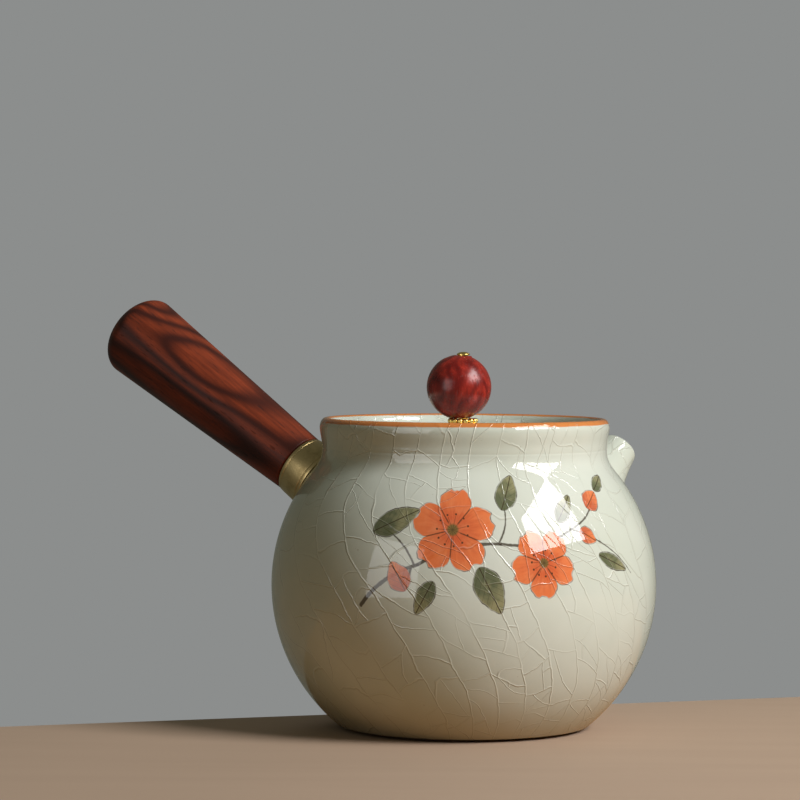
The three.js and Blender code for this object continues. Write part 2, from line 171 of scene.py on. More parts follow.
def pot_profile():
    skin = pot_skin()
    foot = softened([(0, 0, 0), (FOOT_R - 0.3, 0, 0.2), (FOOT_R, 0.3, 0.2), (FOOT_R, FOOT_Z, 0)])
    under = softened([(FOOT_R + 0.1, FOOT_Z, 0), (GLAZED_R, FOOT_Z, 0.35), skin[3] + (0,)], 5)
    groove = softened([(NECK_R, NECK_Z - 0.4, 0), (NECK_R - 0.06, NECK_Z, 0.2), (NECK_R, NECK_Z + 0.4, 0)])
    lip_low = RIM_Z - LIP_CROWN
    neck = bend((NECK_R, NECK_Z + 0.6), (NECK_R, NECK_Z + 2.6), (LIP_R - 0.05, 71.6), (LIP_R, lip_low), 10)
    lip = arc((LIP_R + SEAT_R) / 2, lip_low, (LIP_R - SEAT_R) / 2, LIP_CROWN, 0, 180, 26)
    ledge = softened([
        (SEAT_R, 73.2, 0),
        (SEAT_R, LEDGE_Z, 0.9),
        (LEDGE_R, LEDGE_Z, 0.8),
        (LEDGE_R, LEDGE_UNDER, 1.2),
        (36.3, 58.4, 2.4),
    ], 6)
    inner_r, inner_high, inner_low = BELLY_R - WALL, UPPER - WALL, LOWER - WALL
    top_angle = math.degrees(math.asin((SHOULDER_Z - BELLY_Z - WALL - 2.2) / inner_high))
    floor_angle = -math.degrees(math.asin((BELLY_Z - FLOOR) / inner_low))
    inside = arc(0, BELLY_Z, inner_r, inner_high, top_angle, 0, 14)
    inside += arc(0, BELLY_Z, inner_r, inner_low, 0, floor_angle, 22)[1:]
    return foot + under + skin[4:] + groove + neck[1:] + lip[1:] + ledge[1:] + inside + [(0, FLOOR)]


def drop_doubles(line):
    """Leaves out points that lie on the one before."""
    kept = [line[0]]
    for point in line[1:]:
        if math.dist(point, kept[-1]) > 1e-4:
            kept.append(point)
    return kept


def ring_angles(columns):
    """The angles of a ring's points: the first is at the pot's back, or on top of a slanted line."""
    return math.pi / 2 + 2 * math.pi * np.arange(columns) / columns


def turned_rings(profile, columns, line=None):
    """A ring of points for each point of the profile, round the pot's axis or round a line."""
    angles = ring_angles(columns)
    profile = np.array(drop_doubles(profile), float)
    local = np.empty((len(profile), columns, 3))
    local[..., 0] = profile[:, :1] * np.cos(angles)
    local[..., 1] = profile[:, :1] * np.sin(angles)
    local[..., 2] = profile[:, 1:]
    return local if line is None else line.place(local)


def built(name, rings, material, round_length=60.0, along_start=300.0, closed=False):
    """A closed skin over rings of points, with a wrap map; a ring that is one point is a pole.

    The wrap map counts along_start from the first ring, or nothing from the widest one.
    """
    rings = np.asarray(rings, float)
    count, columns = rings.shape[:2]
    poles = np.ptp(rings, axis=1).max(axis=1) < 1e-6
    points, starts = [], []
    for ring, pole in zip(rings, poles):
        starts.append(len(points))
        points.extend(ring[:1] if pole else ring)
    step = np.linalg.norm(np.diff(rings, axis=0), axis=2).mean(axis=1)
    along = np.concatenate([[0], np.cumsum(step)])
    if along_start is None:
        along -= along[np.hypot(rings[..., 0], rings[..., 1]).max(axis=1).argmax()]
    else:
        along += along_start
    if closed:
        along = np.append(along, along[-1] + 1.0)

    def corner(ring, column):
        """A point's number; every column of a pole has the same point."""
        return starts[ring] + (0 if poles[ring] else column % columns)

    def round_at(column):
        return (column / columns - 0.5) * round_length

    faces, wrap = [], []
    for i in range(count if closed else count - 1):
        k = (i + 1) % count
        for j in range(columns):
            low = [(i, j + 0.5)] if poles[i] else [(i, j), (i, j + 1)]
            high = [(k, j + 0.5)] if poles[k] else [(k, j + 1), (k, j)]
            faces.append([corner(*spot) for spot in low + high])
            wrap += [(round_at(column), along[i]) for _, column in low]
            wrap += [(round_at(column), along[i + 1]) for _, column in high]
    mesh = bpy.data.meshes.new(name)
    mesh.from_pydata((np.array(points) * MM).tolist(), [], faces)
    layer = mesh.uv_layers.new(name="wrap")
    layer.data.foreach_set("uv", np.array(wrap, np.float32).ravel())
    smoothed(mesh)
    mesh.materials.append(material)
    return put_in_scene(name, mesh)


def put_in_scene(name, data):
    thing = bpy.data.objects.new(name, data)
    scene.collection.objects.link(thing)
    return thing


def smoothed(mesh, sharp=40):
    mesh.polygons.foreach_set("use_smooth", [True] * len(mesh.polygons))
    mesh.update()
    mesh.set_sharp_from_angle(angle=math.radians(sharp))


def made_plain(piece):
    """Puts what a piece's modifiers make of it in place of its mesh and the modifiers."""
    bpy.context.view_layer.update()
    mesh = bpy.data.meshes.new_from_object(piece.evaluated_get(bpy.context.evaluated_depsgraph_get()))
    piece.modifiers.clear()
    old = piece.data
    piece.data = mesh
    bpy.data.meshes.remove(old)
    mesh.name = piece.name


def bored(piece, cutter_mesh):
    """Cuts closed shapes out of a piece and keeps its wrap map."""
    cutter = put_in_scene("bore", cutter_mesh)
    cut = piece.modifiers.new("bore", "BOOLEAN")
    cut.operation = "DIFFERENCE"
    cut.solver = "EXACT"
    cut.object = cutter
    made_plain(piece)
    bpy.data.objects.remove(cutter)
    smoothed(piece.data)


def rods(places, radius, low, high, line, sides=24):
    """A mesh of round rods along a line, for boring holes."""
    points, faces = [], []
    turn = 2 * np.pi * np.arange(sides) / sides
    for x, y in places:
        first = len(points)
        for z in (low, high):
            ring = np.stack([x + radius * np.cos(turn), y + radius * np.sin(turn), np.full(sides, z)], 1)
            points.extend(line.place(ring) * MM)
        faces.append([first + i for i in range(sides)][::-1])
        faces.append([first + sides + i for i in range(sides)])
        for i in range(sides):
            k = (i + 1) % sides
            faces.append([first + i, first + k, first + sides + k, first + sides + i])
    mesh = bpy.data.meshes.new("rods")
    mesh.from_pydata([tuple(p) for p in points], [], faces)
    return mesh


def strainer_places(rings, pitch):
    """Hole places in hexagonal rings round the middle one."""
    places = [(0.0, 0.0)]
    for ring in range(1, rings + 1):
        for side in range(6):
            start = side * math.pi / 3
            along = start + 2 * math.pi / 3
            for step in range(ring):
                x = ring * math.cos(start) + step * math.cos(along)
                y = ring * math.sin(start) + step * math.sin(along)
                places.append((x * pitch, y * pitch))
    return places


# The luted joints of spout and handle socket: a blend of two skins found by searching along rays.
def outline_distance(outline, points):
    """Distance of (radius, height) points from a closed outline, less than zero inside it."""
    start = np.array(outline)
    way = np.roll(start, -1, 0) - start
    shape = points.shape[:-1]
    flat = points.reshape(-1, 1, 2)
    share = np.clip(((flat - start) * way).sum(-1) / (way**2).sum(-1), 0, 1)
    near = np.linalg.norm(flat - start - share[..., None] * way, axis=-1).min(1)
    end = start + way
    x, y = flat[..., 0], flat[..., 1]
    spans = (start[:, 1] > y) != (end[:, 1] > y)
    cross = start[:, 0] + (y - start[:, 1]) * way[:, 0] / np.where(way[:, 1] == 0, 1e-9, way[:, 1])
    inside = (spans & (x < cross)).sum(1) % 2 == 1
    return np.where(inside, -near, near).reshape(shape)


def radius_and_height(points):
    """The outline's coordinates of points given about its axis."""
    return np.stack([np.hypot(points[..., 0], points[..., 1]), points[..., 2]], -1)


def blended_rows(line, stub, guide, columns, blend, levels):
    """Rings on the skin that joins a stub to the pot; guide points steer the rays, levels sink the ends.

    The guide is one list of (radius, height) for every column, or has a row of them for each ring.
    """
    furthest_in, furthest_out, halvings = 14.0, 9.5, 26
    pot_outline = [(0, FOOT_Z)] + pot_skin(0.6) + [(NECK_R, RIM_Z), (0, RIM_Z)]
    guide = np.broadcast_to(np.array(guide).reshape(len(guide), -1, 2), (len(guide), columns, 2))
    slope = np.gradient(guide, axis=0)
    normal = np.stack([-slope[..., 1], slope[..., 0]], -1)
    normal /= np.linalg.norm(normal, axis=-1, keepdims=True)
    for _ in range(6):
        normal[1:-1] = (normal[:-2] + normal[1:-1] * 2 + normal[2:]) / 4
    normal /= np.linalg.norm(normal, axis=-1, keepdims=True)
    angles = ring_angles(columns)

    def local_at(reach):
        radius, height = np.moveaxis(guide + normal * reach[..., None], -1, 0)
        return np.stack([radius * np.cos(angles), radius * np.sin(angles), height], -1)

    def skin_at(reach):
        local = local_at(reach)
        from_stub = outline_distance(stub, radius_and_height(local))
        from_pot = outline_distance(pot_outline, radius_and_height(line.place(local)))
        share = np.maximum(blend - abs(from_stub - from_pot), 0) / blend
        return np.minimum(from_stub, from_pot) - share**2 * blend / 4 - np.array(levels)[:, None]

    low = -np.minimum(furthest_in, guide[..., 0] * 0.9)
    high = np.full_like(low, furthest_out)
    for _ in range(halvings):
        middle = (low + high) / 2
        outside = skin_at(middle) > 0
        high = np.where(outside, middle, high)
        low = np.where(outside, low, middle)
    return local_at((low + high) / 2)


def sunk(rows, depth=0.9):
    """The same rings moved in under the pot's skin."""
    rows = rows.copy()
    rows[..., 2] -= depth
    return rows


def spout_rings(columns=112):
    """The spout from its lip down to the pot, then back under the pot's skin and out along its bore."""
    tip_r, tip_wall, root_wall, root_r, flare = 4.85, 1.0, 2.3, 11.0, 20.0
    lip_round, bore_end, cone_end, stub_end = 0.5, 0.6, 31.0, 45.0
    tip = SPOUT.skin + 21.0

    def outside(back):
        share = back / flare
        return tip_r + (root_r - tip_r) * (share + 2 * share * share) / 3

    def inside(back):
        return outside(back) - tip_wall - (root_wall - tip_wall) * back / flare

    def outside_from(start, end, count):
        return [(outside(b), tip - b) for b in np.linspace(start, end, count)]

    cone_r = root_r + (root_r - tip_r) * 5 / (3 * flare) * (cone_end - flare)
    stub = [(0, tip - stub_end), (cone_r, tip - stub_end), (cone_r, tip - cone_end)]
    stub += outside_from(flare, 0, 21) + [(0, tip)]
    lip = arc(tip_r - lip_round, tip - lip_round, lip_round, lip_round, 180, 0, 10)
    turned = turned_rings(lip + outside_from(1.0, 11.0, 14), columns)

    upper = outside_from(11.6, 18.0, 12)
    foot = (outside(18.6), tip - 18.6)
    skirt = bend(foot, (11.4, tip - 20.8), (12.6, tip - 22.2), (17.4, tip - 24.2), 22)
    low_skirt = bend(foot, (13.0, tip - 24.5), (15.0, tip - 29.0), (22.0, tip - 35.0), 22)
    guide = upper + skirt
    lean = (1 - np.sin(ring_angles(columns)))[None, :, None] / 2
    guides = np.array(guide)[:, None] * (1 - lean) + np.array(upper + low_skirt)[:, None] * lean
    levels = [0.0] * (len(guide) - 12) + list(np.linspace(0, -0.02, 9)) + [-0.06, -0.12, -0.2]
    joint = blended_rows(SPOUT, stub, guides, columns, 4.2, levels)

    hidden_end_r = 9.8
    hidden_rows = [i for i in range(len(guide)) if guide[i][0] > hidden_end_r][::-3]
    under = sunk(joint[hidden_rows])
    bore = turned_rings([(inside(b), tip - b) for b in np.linspace(flare, bore_end, 16)], columns)
    bore[0] = under[-1] * np.array((0.88, 0.88, 1.0)) + np.array((0, 0, 0.1))
    return SPOUT.place(np.concatenate([turned, joint, under, bore])[::-1])


def socket_rings(columns=96):
    """The socket from its bore out over the spigot, down to the pot, and back under the pot's skin."""
    top, low = SOCKET_TOP, SOCKET_TOP - 25
    stub = [(0, low), (SOCKET_R, low), (SOCKET_R, top), (0, top)]
    inner = softened([
        (0, TENON_END - FIT, 0),
        (SOCKET_BORE_R, TENON_END - FIT, 0.15),
        (SOCKET_BORE_R, FERRULE_TOP, 0.15),
        (SPIGOT_R, FERRULE_TOP, 0.4),
        (SPIGOT_R, top, 0.15),
        (SOCKET_R, top, 0.4),
        (SOCKET_R, top - 0.9, 0),
    ])
    skirt = bend((SOCKET_R, top - 1.1), (8.6, top - 2.0), (9.6, top - 2.6), (13.2, top - 3.6), 18)
    levels = [0.0] * 9 + list(np.linspace(0, -0.02, 7)) + [-0.06, -0.12, -0.2]
    joint = blended_rows(HANDLE, stub, skirt, columns, 2.6, levels)
    under = sunk(joint[::-4])
    hidden = np.zeros((1, columns, 3))
    hidden[..., 2] = HANDLE.skin - 1.4
    return HANDLE.place(np.concatenate([turned_rings(inner, columns), joint, under, hidden])[::-1])


def ferrule_profile():
    """A ring with a turned line near each end."""
    low, high = FERRULE_LOW, FERRULE_TOP
    return softened([
        (FERRULE_BORE_R, low, 0),
        (FERRULE_LOW_R, low, 0.35),
        (8.33, low + 0.9, 0.05),
        (8.2, low + 1.05, 0.08),
        (8.31, low + 1.2, 0.05),
        (7.93, high - 1.2, 0.05),
        (7.8, high - 1.05, 0.08),
        (7.9, high - 0.9, 0.05),
        (FERRULE_TOP_R, high, 0.35),
        (FERRULE_BORE_R, high, 0),
    ])


def grip_profile():
    """The tenon, the grip widening outwards, and its rounded tail."""
    tail = GRIP_LOW + GRIP_LENGTH
    root = softened([
        (0, TENON_END, 0),
        (TENON_R, TENON_END, 0.3),
        (TENON_R, GRIP_LOW, 0),
        (GRIP_R, GRIP_LOW, 0.4),
        (GRIP_R + GRIP_SWELL * 0.1, GRIP_LOW + 5.9, 0),
    ])
    taper = [(GRIP_R + GRIP_SWELL * s, GRIP_LOW + GRIP_LENGTH * s) for s in np.linspace(0.15, 0.98, 16)]
    end = arc(0, tail, GRIP_R + GRIP_SWELL, TAIL_LENGTH, 0, 88, 26)
    return root + taper + end + [(0, tail + TAIL_LENGTH)]


def lid_profile():
    dome = bend((LID_R, LID_EDGE_Z), (18.3, LID_EDGE_Z + 0.45), (18.3, LID_TOP), (5.0, LID_TOP), 20)
    corners = [
        (KNOB_BORE_R, LID_UNDER, 0),
        (SKIRT_INNER_R, LID_UNDER, 0.8),
        (SKIRT_INNER_R, SKIRT_LOW, 0.8),
        (SKIRT_OUTER_R, SKIRT_LOW, 0.9),
        (SKIRT_OUTER_R, LID_UNDER, 0.5),
        (LID_R, LID_UNDER, 0.8),
        (LID_R, LID_EDGE_Z, 0.9),
        dome[2] + (0,),
    ]
    return softened(corners, 6) + dome[3:] + [(1.9, LID_TOP), (KNOB_BORE_R, LID_TOP - 0.2)]


def bead_rings(columns=96):
    """A bead bored off its middle, flat below and sunk on top for the screw's head."""
    middle = np.array((LID_X - BEAD_ASIDE, 0.0, BEAD_Z))
    angles = ring_angles(columns)
    circle = np.stack([np.cos(angles), np.sin(angles), 0 * angles], 1)

    def round_bore(radius, height):
        return np.array((LID_X, 0, height)) + circle * radius

    sunk_r = 3.6
    rings = [round_bore(KNOB_BORE_R, BEAD_LOW + 0.1), round_bore(KNOB_BORE_R + 0.1, BEAD_LOW)]
    start, end = math.asin((BEAD_LOW - BEAD_Z) / BEAD_R), math.acos(sunk_r / BEAD_R)
    for a in np.linspace(start, end, 46):
        rings.append(middle + circle * BEAD_R * math.cos(a) + np.array((0, 0, BEAD_R * math.sin(a))))
    for radius in (2.9, 2.15):
        ring = round_bore(radius, 0)
        off = np.hypot(ring[:, 0] - middle[0], ring[:, 1])
        ring[:, 2] = BEAD_Z + np.sqrt(BEAD_R**2 - off**2)
        rings.append(ring)
    rings += [round_bore(2.0, BEAD_TOP + 0.1), round_bore(1.95, BEAD_TOP), round_bore(KNOB_BORE_R, BEAD_TOP)]
    return np.array(rings)


def screw_profile():
    threads = []
    z = SCREW_TIP + THREAD_PITCH
    while z < THREAD_END:
        threads += [(THREAD_ROOT_R, z, 0.08), (SCREW_R, z + THREAD_PITCH / 2, 0.08)]
        z += THREAD_PITCH
    tip = [(0, SCREW_TIP, 0), (SCREW_TIP_R, SCREW_TIP, 0.1)]
    shank = softened(tip + threads + [(SCREW_R, 70, 0), (SCREW_R, SCREW_HEAD, 0)], 2)
    edge = (SCREW_HEAD_R - 0.05, SCREW_HEAD + 0.25, 0)
    head = softened([(SCREW_R, SCREW_HEAD, 0), (SCREW_HEAD_R, SCREW_HEAD, 0.12), edge], 3)
    dome = arc(0, SCREW_HEAD + 0.1, 1.62, 0.7, 12, 86, 12)
    return shank + head[1:] + dome + [(0, SCREW_HEAD + 0.8)]


def collar_profile():
    """A disc that the small beads lie on, with a waist up to the bead."""
    return softened([
        (KNOB_BORE_R, COLLAR_LOW, 0),
        (COLLAR_R, COLLAR_LOW, 0.25),
        (COLLAR_R, COLLAR_LOW + 1.7, 0.25),
        (2.9, COLLAR_LOW + 1.9, 0.3),
        (2.3, COLLAR_LOW + 2.3, 0.3),
        (2.0, COLLAR_TOP, 0.15),
        (KNOB_BORE_R, COLLAR_TOP, 0),
    ], 4)


class Nodes:
    """Makes and joins the nodes of one tree."""

    def __init__(self, tree):
        self.tree = tree

    def feed(self, socket, value):
        if isinstance(value, bpy.types.NodeSocket):
            self.tree.links.new(value, socket)
        else:
            socket.default_value = value

    def add(self, kind, settings=(), **values):
        node = self.tree.nodes.new(kind)
        for key, value in dict(settings).items():
            setattr(node, key, value)
        for label, value in values.items():
            self.feed(node.inputs[label.replace("_", " ")], value)
        return node

    def in_order(self, kind, settings, values):
        """A node whose inputs are fed in their order."""
        node = self.add(kind, settings)
        for socket, value in zip(node.inputs, values):
            self.feed(socket, value)
        return node.outputs

    def math(self, operation, *values, clamp=False):
        return self.in_order("ShaderNodeMath", {"operation": operation, "use_clamp": clamp}, values)[0]

    def chain(self, operation, value, rest):
        for other in rest:
            value = self.math(operation, value, other)
        return value

    def times(self, value, *rest):
        return self.chain("MULTIPLY", value, rest)

    def plus(self, value, *rest):
        return self.chain("ADD", value, rest)

    def highest(self, value, *rest):
        return self.chain("MAXIMUM", value, rest)

    def minus(self, value, taken):
        return self.math("SUBTRACT", value, taken)

    def scaled(self, value, factor, shift):
        return self.math("MULTIPLY_ADD", value, factor, shift)

    def size(self, value):
        return self.math("ABSOLUTE", value)

    def diagonal(self, across, up):
        return self.math("SQRT", self.plus(self.times(across, across), self.times(up, up)))

    def vector(self, operation, *values):
        outputs = self.in_order("ShaderNodeVectorMath", {"operation": operation}, values)
        return outputs["Value" if operation in ("LENGTH", "DOT_PRODUCT") else "Vector"]

    def fade(self, value, start, end, low=0.0, high=1.0):
        """Low at start, high at end, smooth between."""
        smooth = {"interpolation_type": "SMOOTHSTEP"}
        return self.in_order("ShaderNodeMapRange", smooth, (value, start, end, low, high))[0]

    def fall(self, value, start, end):
        """One at start, nothing at end, smooth between."""
        return self.fade(value, start, end, 1.0, 0.0)

    def mix(self, share, first, second, blend="MIX"):
        node = self.add("ShaderNodeMix", {"data_type": "RGBA", "blend_type": blend})
        for index, value in ((0, share), (6, first), (7, second)):
            self.feed(node.inputs[index], value)
        return node.outputs[2]

    def noise(self, place, scale, detail=2.0, roughness=0.5, output="Fac"):
        values = {"Vector": place, "Scale": scale, "Detail": detail, "Roughness": roughness}
        return self.add("ShaderNodeTexNoise", **values).outputs[output]

    def joined(self, **parts):
        return self.add("ShaderNodeCombineXYZ", **parts).outputs[0]

    def split(self, place):
        return self.add("ShaderNodeSeparateXYZ", Vector=place).outputs

    def effect(self, tree, **values):
        return self.add("ShaderNodeGroup", {"node_tree": tree}, **values).outputs


FLOAT, VECTOR, ORIGIN = "NodeSocketFloat", "NodeSocketVector", (0, 0, 0)


def effect_tree(name, inputs, outputs):
    """A shader node group; its inputs are given by name and usual value, its outputs by name."""
    tree = bpy.data.node_groups.new(name, "ShaderNodeTree")
    for label, value in inputs.items():
        kind = VECTOR if isinstance(value, tuple) else FLOAT
        tree.interface.new_socket(label, in_out="INPUT", socket_type=kind).default_value = value
    for label in outputs:
        tree.interface.new_socket(label, in_out="OUTPUT", socket_type=FLOAT)
    n = Nodes(tree)
    return tree, n, n.add("NodeGroupInput").outputs, n.add("NodeGroupOutput").inputs


def crackle_effect():
    """Glaze cracks: long sweeping ones, cross cracks between them, and one or two splits in a cell.

    The wrap map's seam is moved to a wavering line, with a crack on it.
    """
    tree, n, given, out = effect_tree(
        "Crackle",
        {"Place": ORIGIN, "Shift": ORIGIN, "Seam": 148.0, "Sweep": 11.0, "Line Width": 0.3},
        ("Line", "Painted Shade Side", "Height", "Cell"),
    )
    masks = {"Line": [], "Painted Shade Side": [], "Height": []}

    def about_zero(value, half):
        """The value wrapped to lie from minus half to half."""
        return n.math("WRAP", value, half, n.times(half, -1.0))

    def crack(aside, thin, present=1.0):
        """Draws a crack where aside, the signed distance from it, is near zero, with a band of painted shade
        along one side of it.
        """
        share = n.math("DIVIDE", aside, n.times(given["Line Width"], thin))
        far = n.size(share)
        shade = n.size(n.plus(share, 1.1))
        masks["Line"].append(n.times(n.fall(far, 0.35, 0.8), present))
        masks["Painted Shade Side"].append(n.times(n.fall(shade, 0.2, 1.0), present))
        masks["Height"].append(n.times(n.fall(far, 0.0, 1.3), present))

    def chance(*parts):
        """Three random numbers for a cell."""
        spot = n.joined(**dict(zip("XYZ", parts)))
        noise = n.add("ShaderNodeTexWhiteNoise", {"noise_dimensions": "3D"}, Vector=spot)
        return n.split(noise.outputs["Color"])

    def centred(value, width):
        """A random number moved to lie about zero and scaled."""
        return n.times(n.minus(value, 0.5), width)

    sweep, seam = given["Sweep"], given["Seam"]
    across, up, _ = n.split(given["Place"])
    sway = n.scaled(n.noise(n.joined(Y=up), 0.045), 40.0, -20.0)
    around = about_zero(n.plus(across, sway), seam)
    place = n.vector("ADD", n.joined(X=n.minus(around, sway), Y=up), given["Shift"])

    drift = n.noise(n.vector("MULTIPLY", place, (0.007, 0.0145, 0.0)), 1.0, 0.0, output="Color")
    bent = n.vector("MULTIPLY_ADD", drift, (64.0, 24.0, 0.0), place)
    ripple = n.noise(place, 0.11, 0.5, output="Color")
    bent = n.vector("MULTIPLY_ADD", ripple, (2.4, 3.2, 0.0), bent)
    waver = n.noise(place, 0.42, 1.0, output="Color")
    bent = n.vector("MULTIPLY_ADD", waver, (0.75, 0.75, 0.0), bent)
    across, up, _ = n.split(bent)
    crack(about_zero(across, n.times(sweep, 0.5)), 1.0)

    column = n.math("FLOOR", n.math("DIVIDE", across, sweep))
    x = n.minus(across, n.times(n.plus(column, 0.5), sweep))
    first, second, third = chance(column, 3.0)
    height = n.scaled(first, 10.0, 6.0)
    slant = n.times(x, centred(second, 1.5))
    own = n.vector("ADD", place, n.joined(Y=n.times(column, 31.7)))
    up = n.plus(up, n.plus(slant, n.times(third, 200.0), n.times(n.noise(own, 0.07, 0.5), 9.0)))
    crack(about_zero(up, n.times(height, 0.5)), 0.85)

    row = n.math("FLOOR", n.math("DIVIDE", up, height))
    y = n.minus(up, n.times(n.plus(row, 0.5), height))
    first, second, third = chance(column, row, 11.0)
    turn = centred(first, 2.7)
    cosine, sine = n.math("COSINE", turn), n.math("SINE", turn)
    on = n.minus(n.times(y, cosine), n.times(x, sine))
    bow = n.times(on, on, centred(second, 0.09))
    off = n.plus(n.times(x, cosine), n.times(y, sine), bow, centred(third, 4.0))
    some = n.math("GREATER_THAN", n.math("FRACT", n.times(third, 7.31)), 0.32)
    crack(off, 0.72, some)

    first, second, third = chance(column, row, n.math("SIGN", off))
    aside = n.plus(on, n.times(off, centred(first, 1.2)), centred(second, 5.0))
    crack(aside, 0.62, n.times(some, n.math("GREATER_THAN", third, 0.5)))
    crack(n.minus(n.size(around), seam), 1.0)

    strength = n.fade(n.noise(place, 0.06), 0.32, 0.6, 0.2, 1.0)
    for label, found in masks.items():
        n.feed(out[label], n.times(n.highest(*found), strength))
    n.feed(out["Cell"], second)
    return tree


def turned_place(n, given):
    """The group's place, moved to the motif's middle and turned along it."""
    moved = n.vector("SUBTRACT", given["Place"], given["Middle"])
    turn = n.times(given["Turn"], -math.pi / 180)
    return n.add("ShaderNodeVectorRotate", {"rotation_type": "Z_AXIS"}, Vector=moved, Angle=turn).outputs[0]


def leaf_effect():
    """A pointed leaf with an outline, a midrib and side veins."""
    tree, n, given, out = effect_tree(
        "Painted leaf",
        {"Place": ORIGIN, "Middle": ORIGIN, "Turn": 0.0, "Half Length": 6.0, "Half Width": 3.0},
        ("Fill", "Stroke", "Tone"),
    )
    x, y, _ = n.split(turned_place(n, given))
    share = n.math("DIVIDE", x, given["Half Length"])
    room = n.highest(n.minus(1.0, n.times(share, share)), 0.0)
    width = n.times(n.math("POWER", room, 0.8), given["Half Width"], n.scaled(share, -0.28, 1.0))
    aside = n.size(y)
    wobble = n.scaled(n.noise(given["Place"], 0.55, 1.0), 0.5, -0.25)
    past = n.plus(n.minus(aside, width), wobble)
    within = n.fall(n.size(share), 0.97, 1.02)
    fill = n.times(n.fall(past, -0.2, 0.15), within)
    ink = n.fade(n.noise(given["Place"], 0.3), 0.35, 0.6, 0.35, 1.0)
    outline = n.times(n.fall(n.size(n.minus(past, 0.12)), 0.05, 0.2), within, ink)
    midrib = n.times(n.fall(aside, 0.05, 0.18), fill)
    veins = n.math("PINGPONG", n.scaled(aside, -1.2, x), 0.95)
    veins = n.times(n.fade(veins, 0.03, 0.13, 0.45, 0.0), fill)
    n.feed(out["Fill"], fill)
    n.feed(out["Stroke"], n.highest(outline, midrib, veins))
    n.feed(out["Tone"], n.scaled(share, 0.35, n.noise(given["Place"], 0.4, 3.0)))
    return tree


def blossom_effect():
    """A five-petalled blossom with outlined petals, a heart and stamens."""
    tree, n, given, out = effect_tree(
        "Painted blossom",
        {"Place": ORIGIN, "Middle": ORIGIN, "Turn": 0.0, "Radius": 9.0},
        ("Fill", "Stroke", "Tone", "Heart"),
    )
    local = turned_place(n, given)
    x, y, _ = n.split(local)
    far = n.math("DIVIDE", n.vector("LENGTH", local), given["Radius"])
    angle = n.math("ARCTAN2", y, x)
    petal = n.size(n.math("COSINE", n.times(angle, 2.5)))
    reach = n.scaled(n.math("POWER", petal, 0.5), 0.42, 0.58)
    reach = n.minus(reach, n.fade(petal, 0.93, 1.0, 0.0, 0.07))
    reach = n.plus(reach, n.scaled(n.noise(given["Place"], 0.35), 0.16, -0.08))
    past = n.times(n.minus(far, reach), given["Radius"])
    fill = n.fall(past, -0.25, 0.15)
    ink = n.fade(n.noise(given["Place"], 0.22), 0.38, 0.6, 0.15, 1.0)
    outline = n.times(n.fade(n.size(n.minus(past, 0.1)), 0.04, 0.2, 0.9, 0.0), ink)
    arm = n.times(far, given["Radius"])
    fold = n.times(n.fade(n.times(petal, 0.4, arm), 0.05, 0.24, 0.9, 0.0), fill, n.fade(far, 0.14, 0.22))
    aside = n.times(n.math("PINGPONG", n.plus(angle, 20.0), math.pi / 11), arm)
    threads = n.times(n.fade(aside, 0.02, 0.1, 0.7, 0.0), n.fall(far, 0.3, 0.36))
    rise = n.times(n.minus(far, 0.37), given["Radius"])
    dots = n.fall(n.diagonal(aside, rise), 0.18, 0.34)
    streaks = n.noise(n.joined(X=n.times(angle, 9.0), Y=n.times(far, 2.5)), 1.0)
    n.feed(out["Fill"], fill)
    n.feed(out["Stroke"], n.highest(outline, fold, threads, dots))
    n.feed(out["Tone"], n.scaled(streaks, 0.5, n.times(far, 0.6)))
    n.feed(out["Heart"], n.fall(far, 0.1, 0.17))
    return tree


def stroke_effect():
    """One brush stroke from start to end, bowed aside and thinning out."""
    inputs = {"Place": ORIGIN, "Start": ORIGIN, "End": (10, 0, 0), "Bow": 0.0}
    inputs.update({"Start Width": 0.4, "End Width": 0.2})
    tree, n, given, out = effect_tree("Brush stroke", inputs, ("Mask",))
    way = n.vector("SUBTRACT", given["End"], given["Start"])
    from_start = n.vector("SUBTRACT", given["Place"], given["Start"])
    length = n.vector("LENGTH", way)
    unit = n.vector("NORMALIZE", way)
    along = n.vector("DOT_PRODUCT", from_start, unit)
    share = n.math("DIVIDE", along, length, clamp=True)
    aside = n.vector("DOT_PRODUCT", from_start, n.vector("CROSS_PRODUCT", (0.0, 0.0, 1.0), unit))
    hump = n.times(share, n.minus(1.0, share), 4.0)
    aside = n.minus(aside, n.times(hump, given["Bow"]))
    past = n.minus(along, n.times(share, length))
    far = n.plus(n.diagonal(aside, past), n.scaled(n.noise(given["Place"], 0.9), 0.3, -0.15))
    width = n.scaled(share, n.minus(given["End Width"], given["Start Width"]), given["Start Width"])
    n.feed(out["Mask"], n.fall(n.minus(far, width), -0.12, 0.12))
    return tree


def figured_wood_effect():
    """Close-grained wood: dark looping figure, fine streaks and short open pores along the grain."""
    inputs = {"Place": ORIGIN, "Along": 0.016, "Across": 0.07, "Loops": 5.0, "Pore Size": 1.6}
    inputs.update({"Shift": ORIGIN, "Streak Shape": (1.1, 1.1, 0.05)})
    tree, n, given, out = effect_tree("Figured wood", inputs, ("Figure", "Streak", "Pore"))
    shape = n.joined(X=given["Across"], Y=given["Across"], Z=given["Along"])
    drawn = n.vector("ADD", n.vector("MULTIPLY", given["Place"], shape), given["Shift"])
    bands = n.math("PINGPONG", n.times(n.noise(drawn, 1.0, 0.7, 0.35), given["Loops"]), 0.5)
    wander = n.scaled(n.noise(drawn, 2.6, 3.0), 0.7, -0.35)
    pore_place = n.vector("MULTIPLY", given["Place"], (1.0, 1.0, 0.14))
    pores = n.noise(pore_place, given["Pore Size"], 1.0)
    streak_place = n.vector("MULTIPLY", given["Place"], given["Streak Shape"])
    n.feed(out["Figure"], n.math("ADD", n.fade(bands, 0.0, 0.46), wander, clamp=True))
    n.feed(out["Streak"], n.noise(streak_place, 1.0, 4.0, 0.65))
    n.feed(out["Pore"], n.fade(pores, 0.63, 0.72))
    return tree


